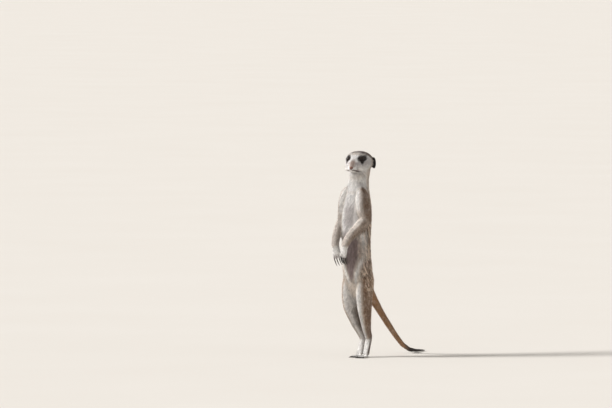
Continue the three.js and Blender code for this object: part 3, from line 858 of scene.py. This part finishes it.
def coat_piece(name, nodes, lock_size, pull, squat, roots):
    """One piece of the coat: its tufts with their map, shades and normals."""
    LONG = 3.2 * MM  # shorter tufts gather less
    FLATNESS = 0.55
    FLOOR_GAP = 0.2 * MM
    start, tip, clear = grow(roots)
    roots = {key: value[clear] for key, value in roots.items()}
    start, tip, tousled = start[clear], tip[clear], roots["tousled"]
    pull = pull * (0.75 + 0.5 * tousled) * np.minimum(roots["length"] / LONG, 1)
    middles, lock = locks(roots["place"], lock_size, squat)
    tip = gathered(tip, middles, lock, pull)
    for points in (start, tip):
        points[:, 2] = np.maximum(points[:, 2], FLOOR_GAP)
    way = unit(tip - start)
    across = unit(np.cross(roots["normal"], way))
    over = unit(np.cross(way, across))
    half = roots["width"] * (0.7 + 0.6 * chance.random(len(start)))
    girth = np.stack([half, half * 0], 1)
    points, corners, sizes = strands(np.stack([start, tip], 1), across, over, girth, girth * FLATNESS)
    piece = strand_piece(name, points, corners, sizes)
    offsets = np.array([(-1, -1), (1, -1), (0, -1), (0, 1)]) * PATCH / 2
    spots = (unwrapped(roots["place"], roots["node"], nodes)[:, None, :] + offsets).reshape(-1, 2)
    piece.data.uv_layers.new(name="OFBake").data.foreach_set("uv", spots[corners].ravel())
    streaks, streak = locks(roots["place"], 5 * lock_size, squat * 0.7)
    by_lock = chance.random(len(middles))[lock] - 0.5
    by_streak = chance.random(len(streaks))[streak] - 0.5
    shades = 0.5 + 0.08 * tousled + by_lock * (0.45 + 0.45 * tousled) + by_streak * 0.7 * tousled
    put_marks(
        piece.data,
        np.repeat(roots["marks"], 4, 0),
        along=np.tile([0.0, 0.0, 0.0, 1.0], len(start)),
        tuft=np.repeat(chance.random(len(start)), 4),
        clump=np.repeat(np.clip(shades, 0, 1), 4),
    )
    piece.data.normals_split_custom_set(tuft_normals(roots, across, over, way, corners))
    return piece


def coat():
    """The whole coat, in pieces small enough to keep."""
    faces, shares = rooted()
    fields = at_roots(MEASURES, faces, shares)
    roots = {
        "place": at_roots(POINTS, faces, shares),
        "normal": unit(at_roots(NORMALS, faces, shares)),
        "lie": unit(at_roots(LIE, faces, shares)),
        "marks": at_roots(MARKS, faces, shares),
        "length": fields[:, LENGTHS] * MM,
        "width": fields[:, HALF_WIDTHS] * MM,
        "height": fields[:, HEIGHTS] * MM,
        "tousled": fields[:, TOUSLED],
        "swept": fields[:, SWEPT],
        "node": NODE[TRIANGLES[faces, 0]],
    }
    behind = roots["normal"][:, 1] > -0.45
    leftward = roots["place"][:, 0] > centre("trunk")[0]
    parts = {"chest_coat": ~behind}
    parts |= {"left_flank_coat": behind & leftward, "right_flank_coat": behind & ~leftward}
    pieces = []
    for name, (nodes, slot, lock_size, pull, squat) in COAT_PIECES.items():
        picked = np.flatnonzero(np.isin(roots["node"], nodes) & parts.get(name, True))
        if len(picked) > MOST_TUFTS:
            picked = np.sort(chance.permutation(picked)[:MOST_TUFTS])
        own = {key: value[picked] for key, value in roots.items()}
        pieces.append((coat_piece(name, nodes, lock_size, pull, squat, own), slot))
    return pieces


put_marks(skin.data, MARKS)
coat_pieces = coat()

# ---- Eyes, nose, claws and whiskers ----


def from_side(way, direction):
    """A direction on the left face's axes, turned to that side and into the frame."""
    return (np.array(direction) * [way, 1, 1]) @ FACE_AXES


def eyeball(word):
    """A wet eyeball with a raised cornea. Its ring attribute is 0 at the pupil's middle and grows outward."""
    LOOK = unit(np.array([0.55, 0.82, 0.16]))
    way = SIDES[word]
    bm = bmesh.new()
    bmesh.ops.create_uvsphere(bm, u_segments=48, v_segments=32, radius=EYE_RADIUS * MM)
    piece = new_piece(f"{word}_eyeball", bm)
    points = read_points(piece.data)
    look = from_side(way, LOOK)
    across = unit(np.cross(UP, look))
    over = np.cross(look, across)
    facing = unit(points)
    angle = np.degrees(np.arccos(np.clip(facing @ look, -1, 1)))
    place = from_face(EYE_MIDDLE * [way, 1, 1])
    write_points(piece.data, place + points * (1 + 0.05 * hump(angle, 0, 34))[:, None])
    spun = np.arctan2(facing @ over, facing @ across)
    for name, values in (("ring", angle / 90), ("spoke", spun), ("level", facing @ over)):
        layer = piece.data.attributes.new(name, "FLOAT", "POINT")
        layer.data.foreach_set("value", values.astype(np.float32))
    piece.data.shade_smooth()
    return piece


def nose_leather():
    """The bare nose, with comma-shaped nostrils and the groove between them."""
    BACK = 0.8  # how far it is drawn back into the muzzle
    radii = np.array([3.0, 2.2, 2.15])
    bm = bmesh.new()
    bmesh.ops.create_icosphere(bm, subdivisions=6, radius=1.0)
    piece = new_piece("nose_leather", bm)
    ball = read_points(piece.data)
    left, ahead, up = ball.T
    wings = np.abs(left)
    drop = np.zeros(len(ball))
    hole = np.hypot((wings - 0.46) / 0.20, (up + 0.12 + 0.35 * (wings - 0.46)) / 0.24)
    drop += 0.42 * ramp(1.15, 0.3, hole) * (ahead > 0)
    slit = np.hypot((wings - 0.74) / 0.26, (up + 0.30) / 0.11)
    drop += 0.22 * ramp(1.2, 0.3, slit) * (ahead > -0.2)
    drop += 0.12 * hump(left, 0, 0.09) * ramp(0.25, -0.3, up) * (ahead > 0)
    rim = 0.07 * hump(hole, 1.45, 0.35) * (ahead > 0)
    shape = ball * radii * (1 - drop + rim)[:, None]
    write_points(piece.data, from_face(NOSE_PLACE - [0, BACK, 0] + shape))
    # How deep the nostrils and the groove are pushed in, for the material's painted shade in them
    layer = piece.data.attributes.new("nostril", "FLOAT", "POINT")
    layer.data.foreach_set("value", np.clip(drop * 2.6, 0, 1).astype(np.float32))
    piece.data.shade_smooth()
    return piece


CLAW_NODES = [f"{word}_{end}_claw_{n}" for word in SIDES for end in ("fore", "hind") for n in TOES]


def claws():
    """All the claws, rounded, each with its root carried back into its toe."""
    ROOT = {"fore": 2.0 * MM, "hind": 1.2 * MM}
    bm = bmesh.new()
    for name in CLAW_NODES:
        word, end, _, n = name.split("_")
        root, tip = claw_ends(word, end, n)
        back = unit(root - tip)
        one = bmesh.new()
        one.from_mesh(frame["nodes"][name].data)
        bmesh.ops.remove_doubles(one, verts=one.verts, dist=0.01 * MM)
        far = np.array([v.co for v in one.verts]) @ -back
        for v, share in zip(one.verts, (far - far.min()) / np.ptp(far)):
            if share < 0.2:
                v.co += Vector(back * ROOT[end])
        bmesh.ops.recalc_face_normals(one, faces=one.faces)
        mesh = bpy.data.meshes.new("one_claw")
        one.to_mesh(mesh)
        one.free()
        bm.from_mesh(mesh)
        bpy.data.meshes.remove(mesh)
    bmesh.ops.join_triangles(bm, faces=bm.faces, angle_face_threshold=0.7, angle_shape_threshold=0.7)
    piece = new_piece("claws", bm)
    rounding = piece.modifiers.new("rounded", "SUBSURF")
    rounding.levels = rounding.render_levels = 2
    settled(piece)
    piece.data.shade_smooth()
    return piece


def whiskers():
    """Stiff hairs in rows on each side of the muzzle, with a few over each eye."""
    ROWS = [(6.9, -9.6), (7.6, -11.4), (7.9, -13.2)]  # how far to the side and up each row starts
    STEPS = 9
    GIRTH, TAPER, DROOP = 0.12 * MM, 0.85, 0.22
    starts, ways, lengths = [], [], []
    for way in SIDES.values():
        for row, (left, up) in enumerate(ROWS):
            for n in range(5):
                back = n / 4
                starts.append(from_face([way * (left - 3.2 + 3.0 * back), 14.5 - 6.0 * back, up - 0.12 * n]))
                toward = np.array([1.0, 0.42 - 0.75 * back, 0.10 - 0.17 * row - 0.05 * n])
                ways.append(from_side(way, unit(toward)))
                lengths.append((13 + 8 * back - 1.5 * row) * (0.85 + 0.3 * chance.random()))
        for n in range(3):
            starts.append(from_face([way * (7.5 + 1.6 * n), 3.2 - 1.4 * n, 6.2]))
            ways.append(from_side(way, unit(np.array([0.55 + 0.2 * n, 0.35, 0.9]))))
            lengths.append(7.0 - 0.8 * n)
    starts, ways = np.array(starts), np.array(ways)
    ways = unit(ways + chance.normal(0, 0.06, ways.shape))
    lengths = np.array(lengths) * MM
    surface, normal = laid_on_skin(starts, np.zeros(len(starts)))
    steps = np.linspace(0, 1, STEPS)[None, :, None]
    droop = DROOP * lengths[:, None, None] * steps**2 * DOWN
    courses = surface[:, None, :] - normal[:, None, :] * 0.4 * MM
    courses = courses + ways[:, None, :] * steps * lengths[:, None, None] + droop
    across = unit(np.cross(ways, UP))
    over = unit(np.cross(across, ways))
    girth = (GIRTH * (1 - TAPER * steps[..., 0])) * np.ones((len(starts), 1))
    points, corners, sizes = strands(courses, across, over, girth, girth)
    piece = strand_piece("whiskers", points, corners, sizes)
    layer = piece.data.attributes.new("along", "FLOAT", "POINT")
    level = np.concatenate([np.repeat(np.linspace(0, 1, STEPS)[:-1], 3), [1.0]])
    layer.data.foreach_set("value", np.tile(level, len(starts)).astype(np.float32))
    return piece


eyeballs = {word: eyeball(word) for word in SIDES}
nose = nose_leather()
claw_piece = claws()
whisker_piece = whiskers()

# ---- Materials ----


def tone(red, green, blue):
    """A colour named by its display levels, 0 to 255, as the shaders hold it."""
    levels = np.array([red, green, blue]) / 255
    linear = np.where(levels <= 0.04045, levels / 12.92, ((levels + 0.055) / 1.055) ** 2.4)
    return (*linear.tolist(), 1.0)


CREAM = tone(231, 219, 207)
WHITE = tone(249, 246, 243)
GRIZZLE = tone(160, 132, 114)
BAND = tone(80, 58, 49)
PALE_TIP = tone(232, 214, 195)
OCHRE = tone(178, 136, 100)
DUSKY = tone(136, 118, 118)
BROWN = tone(106, 84, 74)
BLACK = tone(27, 22, 21)
WORN_BLACK = tone(62, 49, 43)


class Nodes:
    """A node tree, with short calls for placing nodes. An input is a value, a colour or another's socket."""

    def __init__(self, tree):
        self.tree = tree

    def place(self, kind, inputs=None, out=0, **settings):
        node = self.tree.nodes.new(kind)
        for name, value in settings.items():
            setattr(node, name, value)
        for key, value in (inputs or {}).items():
            if isinstance(value, bpy.types.NodeSocket):
                self.tree.links.new(value, node.inputs[key])
            else:
                node.inputs[key].default_value = value
        return node.outputs[out]

    def mix(self, share, a, b, way="MIX"):
        inputs = {0: share, 6: a, 7: b}
        return self.place("ShaderNodeMix", inputs, 2, data_type="RGBA", blend_type=way)

    def maths(self, operation, a, b=0.0, c=0.0, clamp=False):
        return self.place("ShaderNodeMath", {0: a, 1: b, 2: c}, operation=operation, use_clamp=clamp)

    def times(self, a, b, clamp=False):
        return self.maths("MULTIPLY", a, b, clamp=clamp)

    def span(self, value, low, high, to_low=0.0, to_high=1.0):
        inputs = {"Value": value, "From Min": low, "From Max": high, "To Min": to_low, "To Max": to_high}
        return self.place("ShaderNodeMapRange", inputs, interpolation_type="SMOOTHSTEP")

    def noise(self, place, scale, detail=2.0, rough=0.5):
        inputs = {"Vector": place, "Scale": scale, "Detail": detail, "Roughness": rough}
        return self.place("ShaderNodeTexNoise", inputs)

    def attribute(self, name, out="Fac"):
        node = self.tree.nodes.new("ShaderNodeAttribute")
        node.attribute_name = name
        return node.outputs[out]


def new_group(name, inputs, outputs):
    tree = bpy.data.node_groups.new(name, "ShaderNodeTree")
    for label, kind, default in inputs:
        socket = tree.interface.new_socket(name=label, in_out="INPUT", socket_type=f"NodeSocket{kind}")
        if default is not None:
            socket.default_value = default
    for label, kind in outputs:
        tree.interface.new_socket(name=label, in_out="OUTPUT", socket_type=f"NodeSocket{kind}")
    return tree, tree.nodes.new("NodeGroupInput").outputs, tree.nodes.new("NodeGroupOutput").inputs


def pelt_group():
    """The coat's colour from its markings, broken up in patches, locks and single hairs, and darker toward
    each tuft's root, partly as painted shade deep in the coat.
    """
    inputs = [("Body Marks", "Color", None), ("Face Marks", "Color", None)]
    inputs += [("Along", "Float", 0.5), ("Tuft", "Float", 0.5), ("Clump", "Float", 0.5)]
    tree, given, result = new_group("meerkat_pelt", inputs, [("Colour", "Color")])
    n = Nodes(tree)
    where = n.place("ShaderNodeTexCoord", out="Object")
    patch = n.noise(where, 75.0, 3.0, 0.6)
    fine = n.noise(where, 420.0, 2.0, 0.6)
    body = n.place("ShaderNodeSeparateColor", {0: given["Body Marks"]}, 0).node.outputs
    face = n.place("ShaderNodeSeparateColor", {0: given["Face Marks"]}, 0).node.outputs
    uneven = n.span(patch, 0.3, 0.7, 0.72, 1.22)
    grizzle = n.times(body[0], uneven, clamp=True)
    along, tuft, clump = given["Along"], given["Tuft"], given["Clump"]
    coat_colour = n.mix(face[2], CREAM, WHITE)
    coat_colour = n.mix(grizzle, coat_colour, GRIZZLE)
    coat_colour = n.mix(n.times(body[1], uneven, clamp=True), coat_colour, OCHRE)
    coat_colour = n.mix(n.times(body[2], 0.9), coat_colour, DUSKY)
    coat_colour = n.mix(n.times(face[1], uneven, clamp=True), coat_colour, BROWN)
    ticked = n.maths("ADD", n.times(grizzle, 0.85), 0.12)
    ticked = n.times(ticked, n.span(tuft, 0.35, 0.75))
    band = n.times(n.span(along, 0.15, 0.45), n.span(along, 0.95, 0.6))
    coat_colour = n.mix(n.times(ticked, band), coat_colour, BAND)
    pale = n.times(n.times(grizzle, 0.6), n.span(along, 0.7, 1.0))
    pale_locks = n.times(n.times(grizzle, 0.9), n.span(clump, 0.6, 0.88))
    pale = n.maths("MAXIMUM", pale, pale_locks)
    coat_colour = n.mix(pale, coat_colour, PALE_TIP)
    # Darker toward each tuft's root: partly painted shade deep in the coat. Locks, tufts and fine patches
    # vary at random.
    shade = n.times(n.span(along, 0.0, 0.6, 0.78, 1.06), n.span(clump, 0.0, 1.0, 0.60, 1.30))
    shade = n.times(shade, n.span(tuft, 0.0, 1.0, 0.90, 1.08))
    shade = n.times(shade, n.span(fine, 0.3, 0.7, 0.92, 1.08))
    shade = n.place("ShaderNodeCombineColor", {0: shade, 1: shade, 2: shade})
    coat_colour = n.mix(1.0, coat_colour, shade, "MULTIPLY")
    dark = n.mix(n.span(tuft, 0.5, 1.0), BLACK, WORN_BLACK)
    coat_colour = n.mix(face[0], coat_colour, dark)
    n.tree.links.new(coat_colour, result["Colour"])
    return tree


def new_material(name):
    material = bpy.data.materials.new(name)
    material.use_nodes = True
    material.node_tree.nodes.clear()
    n = Nodes(material.node_tree)
    shader = material.node_tree.nodes.new("ShaderNodeBsdfPrincipled")
    end = material.node_tree.nodes.new("ShaderNodeOutputMaterial")
    material.node_tree.links.new(shader.outputs[0], end.inputs["Surface"])
    return material, n, shader


def set_up(n, shader, **inputs):
    """Sets the shader's sockets, with underscores for the spaces in their names."""
    for key, value in inputs.items():
        socket = shader.inputs[key.replace("_", " ").title().replace("Ior", "IOR")]
        if isinstance(value, bpy.types.NodeSocket):
            n.tree.links.new(value, socket)
        else:
            socket.default_value = value


def pelt_colour(n, **given):
    node = n.tree.nodes.new("ShaderNodeGroup")
    node.node_tree = PELT
    n.tree.links.new(n.attribute("body_marks", "Color"), node.inputs["Body Marks"])
    n.tree.links.new(n.attribute("face_marks", "Color"), node.inputs["Face Marks"])
    for key, value in given.items():
        if isinstance(value, bpy.types.NodeSocket):
            n.tree.links.new(value, node.inputs[key.title()])
        else:
            node.inputs[key.title()].default_value = value
    return node.outputs["Colour"]


def coat_material():
    material, n, shader = new_material("coat_hair")
    shades = {name: n.attribute(name) for name in ("along", "tuft", "clump")}
    set_up(n, shader, base_color=pelt_colour(n, **shades), roughness=0.62, specular_ior_level=0.25)
    set_up(n, shader, sheen_weight=0.12, sheen_roughness=0.5)
    return material


def skin_material():
    """Close hair over skin: the coat's colours, a little darker as painted shade under the tufts, with fine
    streaks in relief.
    """
    material, n, shader = new_material("skin_under_coat")
    where = n.place("ShaderNodeTexCoord", out="Object")
    streaks = n.noise(n.place("ShaderNodeMapping", {0: where, "Scale": (1.0, 1.0, 0.35)}), 2600.0, 3.0, 0.6)
    colour = pelt_colour(n, along=0.4, tuft=streaks, clump=0.45)
    relief = n.place("ShaderNodeBump", {"Strength": 0.7, "Distance": 0.0002, "Height": streaks})
    set_up(n, shader, base_color=colour, roughness=0.75, specular_ior_level=0.2, normal=relief)
    return material


def eye_material():
    """A near-black brown iris with a wide pupil, under a wet surface."""
    material, n, shader = new_material("wet_eye")
    ring, spoke = n.attribute("ring"), n.attribute("spoke")
    level = n.attribute("level")
    around = n.place("ShaderNodeCombineXYZ", {0: spoke, 1: ring})
    fibres = n.place("ShaderNodeTexNoise", {"Vector": around, "Scale": 9.0})
    iris = n.mix(n.span(fibres, 0.35, 0.65), tone(38, 23, 14), tone(20, 13, 9))
    iris = n.mix(n.span(ring, 0.44, 0.62), iris, tone(12, 9, 8))
    pupil = n.maths("ADD", ring, n.times(n.maths("ABSOLUTE", level), 0.35))
    colour = n.mix(n.span(pupil, 0.27, 0.23), iris, tone(4, 4, 4))
    set_up(n, shader, base_color=colour, roughness=0.25, specular_ior_level=0.05)
    set_up(n, shader, coat_weight=0.6, coat_roughness=0.02, coat_ior=1.38)
    return material


def nose_material():
    """Moist pebbled leather, pink-brown, with painted shade in the nostrils and the groove, darker where they
    go deeper.
    """
    material, n, shader = new_material("nose_skin")
    where = n.place("ShaderNodeTexCoord", out="Object")
    pebbles = n.place("ShaderNodeTexVoronoi", {"Vector": where, "Scale": 3200.0})
    uneven = n.noise(where, 500.0, 3.0, 0.6)
    colour = n.mix(n.span(uneven, 0.3, 0.7), tone(118, 77, 60), tone(82, 54, 46))
    colour = n.mix(n.times(n.span(pebbles, 0.0, 0.6, 0.5, 0.0), 0.6), colour, tone(70, 45, 38))
    # Painted shade in the nostrils and the groove, darker where they go deeper
    colour = n.mix(n.span(n.attribute("nostril"), 0.15, 0.8), colour, tone(26, 16, 14))
    relief = n.place("ShaderNodeBump", {"Strength": 0.5, "Distance": 0.00012, "Height": pebbles})
    set_up(n, shader, base_color=colour, roughness=n.span(uneven, 0.2, 0.8, 0.28, 0.5), normal=relief)
    set_up(n, shader, specular_ior_level=0.45, coat_weight=0.15, coat_roughness=0.25)
    return material


def claw_material():
    """Dark horn, streaked along its length."""
    material, n, shader = new_material("claw_horn")
    where = n.place("ShaderNodeTexCoord", out="Object")
    drawn = n.place("ShaderNodeMapping", {0: where, "Scale": (1.0, 0.5, 0.12)})
    grain = n.noise(drawn, 2400.0, 3.0, 0.6)
    colour = n.mix(n.span(grain, 0.3, 0.7), tone(26, 22, 21), tone(54, 47, 42))
    relief = n.place("ShaderNodeBump", {"Strength": 0.4, "Distance": 0.0001, "Height": grain})
    set_up(n, shader, base_color=colour, roughness=n.span(grain, 0.3, 0.7, 0.3, 0.45), normal=relief)
    set_up(n, shader, specular_ior_level=0.5)
    return material


def whisker_material():
    material, n, shader = new_material("whisker_hair")
    along = n.attribute("along")
    colour = n.mix(n.span(along, 0.0, 0.55), tone(84, 72, 64), tone(226, 217, 206))
    set_up(n, shader, base_color=colour, roughness=0.4, specular_ior_level=0.4)
    return material


PELT = pelt_group()
coat_hair = coat_material()
skin.data.materials.append(skin_material())
for piece, _ in coat_pieces:
    piece.data.materials.append(coat_hair)
wet_eye = eye_material()
for piece in eyeballs.values():
    piece.data.materials.append(wet_eye)
nose.data.materials.append(nose_material())
claw_piece.data.materials.append(claw_material())
whisker_piece.data.materials.append(whisker_material())

# ---- Its place on the body ----

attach(skin, "root")
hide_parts(*FLESH)
for piece, slot in coat_pieces:
    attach(piece, "root")
for word, piece in eyeballs.items():
    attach(piece, "root")
    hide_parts(f"{word}_eye")
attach(nose, "root")
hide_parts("nose")
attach(claw_piece, "root")
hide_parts(*CLAW_NODES)
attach(whisker_piece, "root")

# ---- Floor, light and camera ----

CAMERA_TURN = 38.0  # degrees from straight ahead of the animal toward its left
CAMERA_RISE = 3.0
CAMERA_AWAY = 9.0
VIEW_WIDTH = 0.918  # metres across the view at the animal
OFF_MIDDLE = (-0.07575, 0.231)  # how far the view's middle lies right of and above the animal's stand
STAND = np.array([-1.651, -66.845, 0.0]) * MM


def floor():
    bm = bmesh.new()
    bmesh.ops.create_grid(bm, x_segments=1, y_segments=1, size=60.0)
    piece = new_piece("floor", bm)
    material, n, shader = new_material("pale_floor")
    where = n.place("ShaderNodeTexCoord", out="Object")
    colour = n.mix(n.noise(where, 3.0, 4.0), tone(222, 216, 208), tone(226, 221, 214))
    set_up(n, shader, base_color=colour, roughness=0.9, specular_ior_level=0.1)
    piece.data.materials.append(material)


def view_axes():
    turn, rise = math.radians(CAMERA_TURN), math.radians(CAMERA_RISE)
    right = np.array([math.cos(turn), math.sin(turn), 0.0])
    back = np.array([math.sin(turn) * math.cos(rise), -math.cos(turn) * math.cos(rise), math.sin(rise)])
    return right, np.cross(back, right), back


def camera():
    right, over, back = view_axes()
    aim = STAND + right * OFF_MIDDLE[0] + over * OFF_MIDDLE[1]
    data = bpy.data.cameras.new("camera")
    data.sensor_width = 36.0
    data.lens = 36.0 * CAMERA_AWAY / VIEW_WIDTH
    data.clip_end = 200.0
    shot = bpy.data.objects.new("camera", data)
    bpy.context.scene.collection.objects.link(shot)
    place = aim + back * CAMERA_AWAY
    shot.matrix_world = Matrix((
        (right[0], over[0], back[0], place[0]),
        (right[1], over[1], back[1], place[1]),
        (right[2], over[2], back[2], place[2]),
        (0, 0, 0, 1),
    ))
    bpy.context.scene.camera = shot


def lamp(name, toward, strength, softness):
    """A broad soft lamp, far off by shares of the view's right, up and back axes."""
    right, _, back = view_axes()
    direction = unit(toward[0] * right + toward[1] * UP + toward[2] * back)
    data = bpy.data.lights.new(name, "SUN")
    data.energy = strength
    data.angle = math.radians(softness)
    piece = bpy.data.objects.new(name, data)
    bpy.context.scene.collection.objects.link(piece)
    piece.location = Vector(direction * 3.0)
    piece.rotation_euler = Vector(direction).to_track_quat("Z", "Y").to_euler()


def surroundings():
    world = bpy.data.worlds.new("studio")
    bpy.context.scene.world = world
    world.use_nodes = True
    world.node_tree.nodes.clear()
    n = Nodes(world.node_tree)
    path = n.place("ShaderNodeLightPath", out="Is Camera Ray")
    glossy = path.node.outputs["Is Glossy Ray"]
    seen = n.maths("MAXIMUM", path, glossy)
    colour = n.mix(seen, tone(250, 249, 247), tone(250, 241, 230))
    strength = n.span(seen, 0.0, 1.0, 0.50, 0.95)
    shade = n.place("ShaderNodeBackground", {"Color": colour, "Strength": strength})
    end = n.tree.nodes.new("ShaderNodeOutputWorld")
    n.tree.links.new(shade, end.inputs["Surface"])


floor()
camera()
lamp("key", (-0.92, 0.52, 0.22), 4.3, 14.0)
lamp("fill", (0.75, 0.35, 0.60), 0.15, 40.0)
surroundings()
bpy.context.scene.view_settings.view_transform = "Standard"
